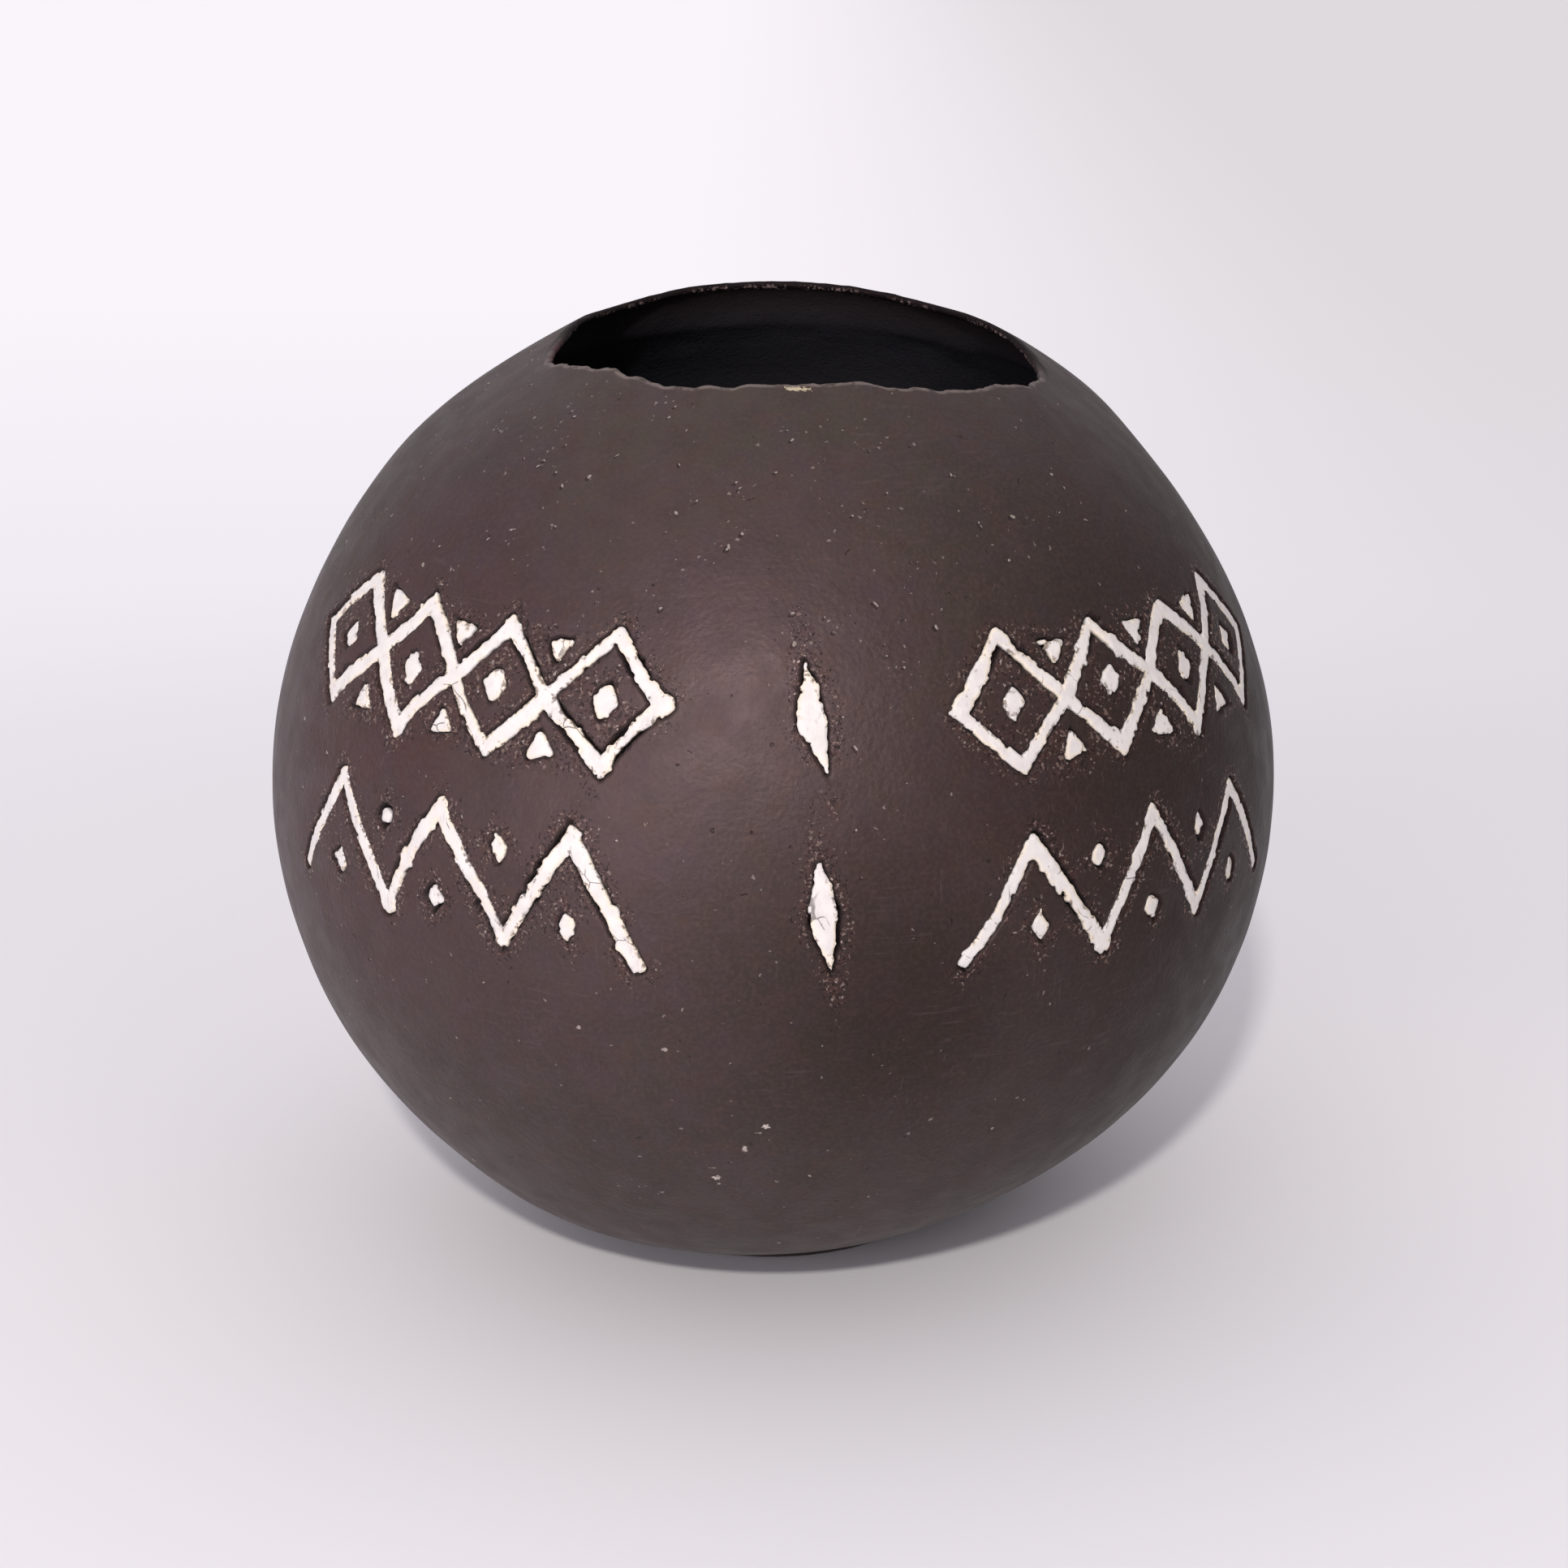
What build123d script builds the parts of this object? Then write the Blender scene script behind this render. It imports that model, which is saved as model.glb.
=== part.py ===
"""A hand-built globular vase with a torn mouth and two carved friezes filled with white slip.

Lengths are in millimetres. The origin is the centre of the base, on the surface that the vase
stands on, +Z is up, and the friezes face -Y. An azimuth is counted in degrees from the front,
-Y, and grows towards +X.
"""
import os
from math import acos, asin, cos, degrees, hypot, radians, sin, sqrt

from build123d import *

# Globe
globe_diameter = 150.0
flattening = 2.0
belly_wall = 4.5
crown_wall = 3.0
base_radius = 26.0
base_edge_round = 1.5
floor_thickness = 6.0

# Shoulder, where the wall runs a little straighter than the globe
shoulder_angle = 42.0
shoulder_radius = 100.0

# Mouth: its outline is torn, so its radius differs all the way round, from +X by way of +Y
mouth_radius = 34.0
mouth_radius_shares = (
    1.12, 1.04, 0.97, 0.92, 0.89, 0.90, 0.92, 0.90,
    0.92, 0.99, 1.03, 1.05, 1.03, 1.06, 1.13, 1.16,
)
lip_round = 1.1

# Carving and its filling
groove_depth = 1.2
slip_recess = 0.3
slip_clearance = 0.1
stroke_width = 2.8

# Upper frieze: two chains of lozenges
upper_rise = 29.5
upper_fall = 2.0
lozenge_height = 17.5
lozenge_pitch = 13.5
lozenge_count = 4
upper_chain_starts = {"left": -66.0, "right": 21.0}
pip_height = 5.4
pip_width = 4.4
dab_height = 4.2
dab_width = 5.0
dab_inset = 2.6

# Lower frieze: two zigzag lines
lower_rise = 4.0
lower_fall = 3.0
zigzag_height = 16.0
zigzag_pitch = 7.9
zigzag_strokes = 6
lower_line_starts = {"left": -61.0, "right": 20.5}
bend_pip_height = 4.6
bend_pip_width = 3.6
bend_pip_inset = 3.4

# Spindles between the groups
spindle_azimuth = 4.8
spindle_height = 17.5
spindle_width = 4.6

# How far cutting tools run past what they cut
overrun = 5.0

globe_radius = globe_diameter / 2
arc_radius = globe_radius - flattening
centre_height = sqrt(arc_radius**2 - (base_radius - flattening) ** 2)


def on_arc(centre, radius, angle):
    """The point of an arc at an angle in degrees from straight up."""
    turn = radians(angle)
    return centre[0] + radius * sin(turn), centre[1] + radius * cos(turn)


def solid_of_revolution(centre, radius, bottom, shoulder):
    """Revolve a globe that is cut flat at the bottom and ends in a straighter shoulder."""
    bottom_angle = 180 - degrees(acos((centre[1] - bottom) / radius))
    foot = on_arc(centre, radius, bottom_angle)
    middle = on_arc(centre, radius, (bottom_angle + shoulder_angle) / 2)
    turn = on_arc(centre, radius, shoulder_angle)
    shoulder_centre = on_arc(turn, -shoulder, shoulder_angle)
    crown_angle = -degrees(asin(shoulder_centre[0] / shoulder))
    crown = on_arc(shoulder_centre, shoulder, crown_angle)
    slope = on_arc(shoulder_centre, shoulder, (shoulder_angle + crown_angle) / 2)
    with BuildPart() as globe:
        with BuildSketch(Plane.XZ):
            with BuildLine():
                Line((0, bottom), foot)
                ThreePointArc(foot, middle, turn)
                ThreePointArc(turn, slope, crown)
                Line(crown, (0, bottom))
            make_face()
        revolve(axis=Axis.Z)
    return globe.part


def outer_globe(inset):
    """The globe's outside, drawn in by an inset."""
    centre = (flattening, centre_height)
    return solid_of_revolution(centre, arc_radius - inset, inset, shoulder_radius - inset)


def cavity():
    """The space inside the vase, before its mouth is torn open. Its wall thins towards the crown."""
    centre = (flattening, centre_height + belly_wall - crown_wall)
    radius = arc_radius - belly_wall
    return solid_of_revolution(centre, radius, floor_thickness, shoulder_radius - belly_wall)


def mouth_cutter():
    """A prism with the mouth's uneven outline, from inside the cavity to above the lip."""
    step = 360 / len(mouth_radius_shares)
    points = []
    for index, share in enumerate(mouth_radius_shares):
        turn = radians(index * step)
        radius = mouth_radius * share
        points.append((radius * cos(turn), radius * sin(turn)))
    with BuildPart() as cutter:
        with BuildSketch(Plane.XY.offset(centre_height)):
            with BuildLine():
                Spline(*points, periodic=True)
            make_face()
        extrude(amount=globe_diameter)
    return cutter.part


def tangent_plane(azimuth, rise):
    """The plane that touches the globe at an azimuth and a rise over the globe's centre."""
    tilt = asin(rise / arc_radius)
    turn = radians(azimuth)
    reach = flattening + arc_radius * cos(tilt)
    origin = (reach * sin(turn), -reach * cos(turn), centre_height + rise)
    normal = (cos(tilt) * sin(turn), -cos(tilt) * cos(turn), sin(tilt))
    return Plane(origin=origin, x_dir=(cos(turn), sin(turn), 0), z_dir=normal)


def raised_prism(plane, outline):
    """A prism square to a tangent plane, from under the grooves to outside the globe."""
    with BuildPart() as prism:
        with BuildSketch(plane.offset(-groove_depth - overrun)):
            with BuildLine():
                Polyline(*outline, close=True)
            make_face()
        extrude(amount=groove_depth + 2 * overrun)
    return prism.part


def stroke_outline(start, end, width):
    """A bar from one point to another of a plane, with blunt ends half a width past them."""
    length = hypot(end[0] - start[0], end[1] - start[1])
    along = ((end[0] - start[0]) / length, (end[1] - start[1]) / length)
    half = width / 2
    corners = ((start, -1, -1), (end, 1, -1), (end, 1, 1), (start, -1, 1))
    outline = []
    for point, forward, side in corners:
        x = point[0] + half * (forward * along[0] - side * along[1])
        y = point[1] + half * (forward * along[1] + side * along[0])
        outline.append((x, y))
    return outline


def lozenge_outline(width, height):
    """The four corners of a lozenge about a plane's origin."""
    return ((width / 2, 0), (0, height / 2), (-width / 2, 0), (0, -height / 2))


def triangle_outline(width, height, up):
    """A triangle about a plane's origin that points up or down."""
    tip = height / 2 if up else -height / 2
    return ((-width / 2, -tip), (width / 2, -tip), (0, tip))


def row_rise(rise, fall, azimuth):
    """A row's rise at an azimuth: the rows run downhill to the right by a fall over a quarter turn."""
    return rise - fall * azimuth / 90


def line_prisms(corners, width):
    """The bars of a carved line that bends at its corners, which are azimuths and rises."""
    prisms = []
    for (azimuth_a, rise_a), (azimuth_b, rise_b) in zip(corners, corners[1:]):
        plane = tangent_plane((azimuth_a + azimuth_b) / 2, (rise_a + rise_b) / 2)
        ends = []
        for azimuth, rise in ((azimuth_a, rise_a), (azimuth_b, rise_b)):
            local = plane.to_local_coords(tangent_plane(azimuth, rise).origin)
            ends.append((local.X, local.Y))
        prisms.append(raised_prism(plane, stroke_outline(ends[0], ends[1], width)))
    return prisms


def surface_step(rise, step):
    """The rise that a step along the globe's surface leads to."""
    return arc_radius * sin(asin(rise / arc_radius) + step / arc_radius)


def lozenge_chain(start, width):
    """The bars of a chain of lozenges that touch at their side tips."""
    upper, lower = [], []
    for index in range(2 * lozenge_count + 1):
        azimuth = start + index * lozenge_pitch / 2
        rise = row_rise(upper_rise, upper_fall, azimuth)
        swing = lozenge_height / 2 if index % 2 else 0
        upper.append((azimuth, surface_step(rise, swing)))
        lower.append((azimuth, surface_step(rise, -swing)))
    return line_prisms(upper, width) + line_prisms(lower, width)


def zigzag_corners(start):
    """The corners of a zigzag line, low and high by turns."""
    corners = []
    for index in range(zigzag_strokes + 1):
        azimuth = start + index * zigzag_pitch
        rise = row_rise(lower_rise, lower_fall, azimuth)
        swing = zigzag_height / 2 if index % 2 else -zigzag_height / 2
        corners.append((azimuth, surface_step(rise, swing)))
    return corners


def zigzag_line(start, width):
    """The bars of a zigzag line."""
    return line_prisms(zigzag_corners(start), width)


def small_marks(gap):
    """Name and prism of every mark that is one solid shape, drawn in by a gap all round."""
    marks = {}
    for side, start in upper_chain_starts.items():
        for index in range(lozenge_count):
            azimuth = start + (index + 0.5) * lozenge_pitch
            plane = tangent_plane(azimuth, row_rise(upper_rise, upper_fall, azimuth))
            outline = lozenge_outline(pip_width - 2 * gap, pip_height - 2 * gap)
            marks[f"upper_{side}_pip_{index + 1}"] = raised_prism(plane, outline)
        for index in range(1, lozenge_count):
            azimuth = start + index * lozenge_pitch
            rise = row_rise(upper_rise, upper_fall, azimuth)
            reach = lozenge_height / 2 - dab_inset
            for place, step in (("high", reach), ("low", -reach)):
                plane = tangent_plane(azimuth, surface_step(rise, step))
                outline = triangle_outline(dab_width - 2 * gap, dab_height - 2 * gap, step < 0)
                marks[f"upper_{side}_{place}_dab_{index}"] = raised_prism(plane, outline)
    for side, start in lower_line_starts.items():
        for index in range(1, zigzag_strokes):
            azimuth = start + index * zigzag_pitch
            rise = row_rise(lower_rise, lower_fall, azimuth)
            reach = zigzag_height / 2 - bend_pip_inset
            step = -reach if index % 2 else reach
            plane = tangent_plane(azimuth, surface_step(rise, step))
            outline = lozenge_outline(bend_pip_width - 2 * gap, bend_pip_height - 2 * gap)
            marks[f"lower_{side}_pip_{index}"] = raised_prism(plane, outline)
    rows = {"upper": (upper_rise, upper_fall), "lower": (lower_rise, lower_fall)}
    for row, (rise, fall) in rows.items():
        plane = tangent_plane(spindle_azimuth, row_rise(rise, fall, spindle_azimuth))
        outline = lozenge_outline(spindle_width - 2 * gap, spindle_height - 2 * gap)
        marks[f"{row}_spindle"] = raised_prism(plane, outline)
    return marks


def joined(prisms):
    """One solid out of prisms that overlap."""
    return prisms[0].fuse(*prisms[1:])


def carved_marks(gap):
    """Name and prism of every carved mark, drawn in by a gap all round."""
    marks = {}
    width = stroke_width - 2 * gap
    for side, start in upper_chain_starts.items():
        marks[f"upper_{side}_lozenges"] = joined(lozenge_chain(start, width))
    for side, start in lower_line_starts.items():
        marks[f"lower_{side}_zigzag"] = joined(zigzag_line(start, width))
    marks.update(small_marks(gap))
    return marks


def slip_fillings():
    """The white filling of each groove, seated on its floor and a little below the clay."""
    floor = outer_globe(groove_depth)
    face = outer_globe(slip_recess)
    fillings = {}
    for name, prism in carved_marks(slip_clearance).items():
        fillings[name] = (prism & face) - floor
    return fillings


def vessel_body():
    """The fired clay: globe, cavity, torn mouth with a rounded lip, and grooves."""
    body = outer_globe(0) - cavity() - mouth_cutter()
    body = body.fillet(lip_round, body.edges().filter_by(GeomType.BSPLINE))
    body = body.fillet(base_edge_round, body.edges().filter_by(GeomType.CIRCLE).sort_by(Axis.Z)[:1])
    floor = outer_globe(groove_depth)
    grooves = [prism - floor for prism in carved_marks(0).values()]
    return body.cut(*grooves)


def main():
    """Write one STEP file for each piece."""
    os.makedirs("parts", exist_ok=True)
    pieces = {"vessel_body": vessel_body()}
    pieces.update(slip_fillings())
    for name, shape in pieces.items():
        export_step(shape, f"parts/{name}.step")


main()
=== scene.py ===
"""The looks of a hand-built globular vase with a torn mouth and two carved friezes.

Lengths are in millimetres and become metres where an object is made. An azimuth is counted in
degrees from the front, -Y, and grows towards +X. A lean is the angle between the surface's normal
and straight up, in radians unless a comment says degrees. A climb is the way up the surface from
the globe's widest circle.
"""
from math import asin, cos, degrees, pi, radians, sin, sqrt

import bpy
import numpy as np
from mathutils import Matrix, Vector


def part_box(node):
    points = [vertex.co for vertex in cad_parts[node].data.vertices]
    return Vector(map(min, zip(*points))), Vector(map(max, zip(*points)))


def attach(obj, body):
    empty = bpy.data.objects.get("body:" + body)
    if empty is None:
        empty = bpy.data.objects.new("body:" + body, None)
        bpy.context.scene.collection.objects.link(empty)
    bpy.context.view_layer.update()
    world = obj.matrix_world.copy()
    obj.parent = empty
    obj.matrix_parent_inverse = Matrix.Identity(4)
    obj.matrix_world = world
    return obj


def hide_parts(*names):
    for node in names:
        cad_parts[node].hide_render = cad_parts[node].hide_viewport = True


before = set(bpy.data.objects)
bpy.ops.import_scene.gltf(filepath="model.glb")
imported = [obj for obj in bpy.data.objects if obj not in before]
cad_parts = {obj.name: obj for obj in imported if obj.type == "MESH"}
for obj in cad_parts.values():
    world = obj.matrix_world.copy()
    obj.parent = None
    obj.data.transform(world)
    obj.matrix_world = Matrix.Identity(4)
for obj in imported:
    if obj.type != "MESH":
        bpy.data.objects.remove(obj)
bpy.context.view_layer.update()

metre = 1000.0
body_low, body_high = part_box("vessel_body")

# Globe: its outline is an arc whose centre lies off the axis, so its crown is a little flat
globe_diameter = (body_high.x - body_low.x) * metre
flattening = 2.0
belly_wall = 4.5
crown_wall = 3.0
base_radius = 26.0
base_edge = 1.6
floor_thickness = 6.0
floor_edge = 7.0
floor_corner_inset = 2.0
floor_corner_turn = 4.0

# Shoulder, where the wall runs a little straighter than the globe
shoulder_angle = 42.0
shoulder_radius = 100.0

# Mouth: its outline is torn, so its radius differs all the way round, from +X by way of +Y
mouth_radius = 34.0
mouth_radius_shares = (
    1.13, 1.01, 0.96, 0.91, 0.89, 0.89, 0.90, 0.88,
    0.90, 1.01, 1.02, 1.06, 1.03, 1.06, 1.13, 1.16,
)
lip_wall = 1.0
lip_crest = 0.55
lip_taper = 10.0

# Notches and tongues along the lip: azimuth, half width in degrees, and depth
lip_tears = (
    (-70, 3, 0.35), (-58, 3, -0.4), (-38.5, 3, -0.55), (-30, 2.5, -0.3),
    (-23, 2, 0.3), (-13.5, 3, -0.48), (-4, 2.6, -0.45), (5, 2, 0.25),
    (19.5, 3.6, -0.68), (32, 2.8, -0.35), (36.5, 1.6, 0.2), (53, 3, -0.35),
    (66, 3, 0.55), (77, 2.5, 0.4),
)

# Hand-formed unevenness: azimuth, lean and width in degrees, and height
form_lobes = (
    (93, 80, 12, 0.3), (97, 68, 9, -1), (101, 58, 8, -0.9),
    (106, 48, 8, -0.3), (112, 40, 8, 1.5), (122, 32, 8, -0.7),
    (140, 28, 9, 0.5), (160, 27, 10, 0.3), (180, 26, 10, 0.4),
    (-160, 27, 10, 0.6), (-140, 28, 9, -0.2), (-122, 32, 9, -1.1),
    (-108, 45, 11, 0.7), (-100, 62, 12, -1.1), (-80, 118, 12, 0.1),
    (-70, 137, 12, -0.4), (-53, 152, 12, 0.5), (-7, 162, 12, -1.2),
    (47, 155, 12, -1.9), (67, 140, 12, -1.3), (78, 124, 12, 0.2),
    (86, 103, 12, 0.3), (-40, 30, 12, 1.2), (0, 30, 12, 0.2),
    (40, 32, 12, 0.8), (80, 36, 10, -1.2), (-80, 33, 10, -2.1),
)

# Unevenness, as layers of lumps: height, size and seed
wall_layers = ((0.12, 16, 1), (0.05, 6, 2))
finger_layers = ((0.35, 7, 31),)
finger_stretch = (0.35, 0.35, 1.0)
dent_layers = ((0.15, 5, 32),)
lip_layers = ((0.1, 5, 21), (0.13, 1.9, 22), (0.09, 0.8, 23))
crest_layers = ((0.12, 0.8, 24), (0.14, 2.1, 25))
drift_across_layers = ((0.32, 7, 11),)
drift_up_layers = ((0.32, 7, 12),)
stroke_layers = ((0.13, 2.3, 13), (0.15, 0.8, 14))
slip_layers = ((0.05, 3, 52), (0.025, 0.9, 53))
slip_edge_layers = ((0.3, 0.5, 55),)

# Unevenness in places only: height, size, seed, and the noise at which it begins and is full
stroke_spurs = (0.36, 1.2, 15, 0.38, 0.75)
stroke_bites = (0.3, 1.0, 16, 0.42, 0.8)
slip_shrinkage = (1.0, 4.5, 51, 0.1, 0.75)
slip_chips = (0.5, 1.3, 54, 0.5, 0.9)

# Carving and its filling
groove_depth = 1.2
groove_edge_outside = 0.12
groove_edge_inside = 0.33
burr_height = 0.16
burr_place = 0.5
burr_width = 0.28
burr_layers = ((1.0, 1.6, 41),)
slip_recess = 0.16
slip_gap = 0.15
slip_wide_gap = 0.38
slip_edge_drop = 0.14
slip_edge_width = 0.3
slip_back_gap = 0.05
stroke_width = 2.3
stroke_rounding = 0.6
patch_sharpness = 3.2
patch_margin = 1.0

# How unsteady the hand was: corners, widths, bows, overshoots and turns of its cuts
hand_seed = 61
corner_shake = 0.6
width_shake = 0.14
bow_shake = 0.4
overshoot = 0.7
patch_turn = 9.0

# Rows of the friezes: the height of each above the widest circle, and its fall over a quarter turn
frieze_rows = {"upper": (29.5, 2.0), "lower": (4.0, 3.0)}

# Upper frieze: two chains of lozenges
lozenge_height = 17.5
lozenge_pitch = 13.5
lozenge_count = 4
upper_chain_starts = {"left": -66.0, "right": 21.0}
pip_height = 5.4
pip_width = 4.4
dab_height = 4.2
dab_width = 5.0
dab_inset = 2.6

# Lower frieze: two zigzag lines
zigzag_height = 16.0
zigzag_pitch = 7.9
zigzag_strokes = 6
lower_line_starts = {"left": -61.0, "right": 20.5}
bend_pip_height = 4.6
bend_pip_width = 3.6
bend_pip_inset = 3.4

# Spindles between the groups
spindle_azimuth = 4.8
spindle_height = 17.5
spindle_width = 4.6

# Mesh of the clay: spacings in millimetres, and in degrees of azimuth at the front and the back
band_spacing = 0.37
shoulder_spacing = 0.5
belly_spacing = 1.2
inner_spacing = 2.4
front_spacing = 0.28
back_spacing = 1.1
front_left = -80.0
front_right = 86.0
front_fade = 3.0
column_count = 768
band_top = 49.0
band_bottom = 101.0
belly_bottom = 125.0
fine_inner_depth = 16.0
slip_spacing = 0.19
closest_crossing_share = 0.1
base_rings = 7
corner_steps = 4
lip_steps = 12
floor_rings = 8

# Values of points that lie nowhere near the carving, before the lip, or deep inside
far_from_carving = 9.0
before_lip = -99.0
deep_inside = 99.0

# Camera
camera_distance_share = 7.0
camera_elevation = 17.53
camera_pitch = 0.216
camera_yaw = 0.202
photo_size = 1932
focal_pixels = 4269.0
sensor_width = 36.0

globe_radius = globe_diameter / 2
arc_radius = globe_radius - flattening
centre_height = sqrt(arc_radius**2 - (base_radius - flattening) ** 2)
shoulder_turn = radians(shoulder_angle)
shoulder_centre = (
    flattening + (arc_radius - shoulder_radius) * sin(shoulder_turn),
    centre_height + (arc_radius - shoulder_radius) * cos(shoulder_turn),
)


def smooth(value, low, high):
    """0 below low, 1 above high, and a soft step between."""
    share = np.clip((value - low) / (high - low), 0, 1)
    return share * share * (3 - 2 * share)


def lumps(points, size, seed):
    """Smooth noise between -1 and 1 at points, with lumps of a given size."""
    lattice = 32
    table = np.random.default_rng(seed).uniform(-1, 1, (lattice, lattice, lattice))
    cell = points / size
    base = np.floor(cell).astype(int)
    part = cell - base
    part = part * part * (3 - 2 * part)
    total = np.zeros(len(points))
    for corner in range(8):
        offset = np.array([corner & 1, corner >> 1 & 1, corner >> 2 & 1])
        weight = np.prod(np.where(offset, part, 1 - part), axis=1)
        index = (base + offset) % lattice
        total += weight * table[index[:, 0], index[:, 1], index[:, 2]]
    return total


def layered(points, layers):
    """Unevenness at points, summed over layers of lumps."""
    total = np.zeros(len(points))
    for height, size, seed in layers:
        total += height * lumps(points, size, seed)
    return total


def in_places(points, height, size, seed, low, full):
    """Unevenness at points, only where the lumps are high."""
    return height * smooth(lumps(points, size, seed), low, full)


def around(shares, azimuth):
    """A smooth closed curve through shares that are given from +X by way of +Y."""
    turn = np.radians(azimuth - 90)
    waves = np.fft.rfft(shares) / len(shares)
    total = np.full_like(turn, waves[0].real)
    for order, wave in enumerate(waves[1:], 1):
        weight = 1 if order * 2 == len(shares) else 2
        total += weight * (wave * np.exp(1j * order * turn)).real
    return total


def on_circle(azimuth, reach, height):
    """Points at a reach from the axis and at a height, one a row."""
    turn = np.radians(azimuth)
    places = (reach * np.sin(turn), -reach * np.cos(turn), height)
    return np.stack(np.broadcast_arrays(*places), -1)


def directions(azimuth, lean):
    """Normals of the globe at azimuths and leans, one a row."""
    return on_circle(azimuth, np.sin(lean), np.cos(lean))


def ideal_outside(azimuth, lean):
    """Points of the globe before hands have shaped it."""
    belly = lean >= shoulder_turn
    radius = np.where(belly, arc_radius, shoulder_radius)
    reach = np.where(belly, flattening, shoulder_centre[0]) + radius * np.sin(lean)
    height = np.where(belly, centre_height, shoulder_centre[1]) + radius * np.cos(lean)
    return on_circle(azimuth, reach, height)


def reach_at(climb):
    """The globe's reach from its axis at a climb."""
    return flattening + arc_radius * np.cos(climb / arc_radius)


def form(points, normals):
    """How far hands have pushed the wall out at each point."""
    total = layered(points, wall_layers)
    for azimuth, lean, width, height in form_lobes:
        centre = directions(np.array(azimuth), radians(lean))
        angle = np.arccos(np.clip(normals @ centre, -1, 1))
        total += height * np.exp(-0.5 * (angle / radians(width)) ** 2)
    return total


def row_climb(row, azimuth):
    """The climb of a row's middle at an azimuth."""
    rise, fall = frieze_rows[row]
    return arc_radius * asin((rise - fall * azimuth / 90) / arc_radius)


class Hand:
    """An unsteady hand that cuts strokes and patches."""

    def __init__(self, seed):
        self.chance = np.random.default_rng(seed)

    def shake(self, amount):
        """A random error of at most an amount either way."""
        return float(self.chance.uniform(-amount, amount))

    def place(self, azimuth, climb):
        """A place that is missed a little."""
        return azimuth + degrees(self.shake(corner_shake) / arc_radius), climb + self.shake(corner_shake)

    def stroke(self, start, end):
        """A bar from start to end, with its width, taper, bow and the reach past both ends."""
        width = stroke_width * (1 + self.shake(width_shake))
        taper = self.shake(width_shake) * 2
        before = stroke_width / 2 + self.shake(overshoot) / 2
        after = stroke_width / 2 + self.shake(overshoot)
        return (start, end, width, taper, self.shake(bow_shake), before, after)

    def patch(self, middle, corners):
        """A patch whose corners are missed a little and which is turned a little."""
        turn = radians(self.shake(patch_turn))
        turned = []
        for x, y in corners:
            x, y = x + self.shake(corner_shake) / 2, y + self.shake(corner_shake) / 2
            turned.append((x * cos(turn) - y * sin(turn), x * sin(turn) + y * cos(turn)))
        return (self.place(*middle), tuple(turned))


def lozenge_chain(hand, start):
    """The bars of a chain of lozenges that touch at their side tips."""
    tips, peaks = [], []
    for index in range(2 * lozenge_count + 1):
        azimuth = start + index * lozenge_pitch / 2
        climb = row_climb("upper", azimuth)
        if index % 2:
            half = lozenge_height / 2
            peaks.append((hand.place(azimuth, climb + half), hand.place(azimuth, climb - half)))
        else:
            tips.append(hand.place(azimuth, climb))
    bars = []
    for index, (high, low) in enumerate(peaks):
        for peak in (high, low):
            bars.append(hand.stroke(tips[index], peak))
            bars.append(hand.stroke(peak, tips[index + 1]))
    return bars


def zigzag_line(hand, start):
    """The bars of a zigzag line."""
    corners = []
    for index in range(zigzag_strokes + 1):
        azimuth = start + index * zigzag_pitch
        swing = zigzag_height / 2 if index % 2 else -zigzag_height / 2
        corners.append(hand.place(azimuth, row_climb("lower", azimuth) + swing))
    return [hand.stroke(*ends) for ends in zip(corners, corners[1:])]


def lozenge(width, height):
    """The corners of a lozenge, anticlockwise."""
    return ((width / 2, 0), (0, height / 2), (-width / 2, 0), (0, -height / 2))


def triangle(width, height, up):
    """The corners of a triangle that points up or down, anticlockwise."""
    half = height / 2
    if up:
        return ((-width / 2, -half), (width / 2, -half), (0, half))
    return ((width / 2, half), (-width / 2, half), (0, -half))


def carved_marks():
    """Every mark by its name: its bars, and its patches as a middle with corners around it."""
    hand = Hand(hand_seed)
    marks = {}

    def patch(name, row, azimuth, step, corners):
        middle = (azimuth, row_climb(row, azimuth) + step)
        marks[name] = ([], [hand.patch(middle, corners)])

    for side, start in upper_chain_starts.items():
        marks[f"upper_{side}_lozenges"] = (lozenge_chain(hand, start), [])
        for index in range(lozenge_count):
            azimuth = start + (index + 0.5) * lozenge_pitch
            patch(f"upper_{side}_pip_{index + 1}", "upper", azimuth, 0, lozenge(pip_width, pip_height))
        for index in range(1, lozenge_count):
            azimuth = start + index * lozenge_pitch
            reach = lozenge_height / 2 - dab_inset
            for place, step in (("high", reach), ("low", -reach)):
                corners = triangle(dab_width, dab_height, step < 0)
                patch(f"upper_{side}_{place}_dab_{index}", "upper", azimuth, step, corners)
    for side, start in lower_line_starts.items():
        marks[f"lower_{side}_zigzag"] = (zigzag_line(hand, start), [])
        for index in range(1, zigzag_strokes):
            azimuth = start + index * zigzag_pitch
            reach = zigzag_height / 2 - bend_pip_inset
            corners = lozenge(bend_pip_width, bend_pip_height)
            patch(f"lower_{side}_pip_{index}", "lower", azimuth, -reach if index % 2 else reach, corners)
    for row in frieze_rows:
        patch(f"{row}_spindle", row, spindle_azimuth, 0, lozenge(spindle_width, spindle_height))
    return marks


def flat_place(azimuth, climb, middle):
    """Places on the surface as seen flat around a middle."""
    return reach_at(climb) * np.radians(azimuth - middle[0]), climb - middle[1]


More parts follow.
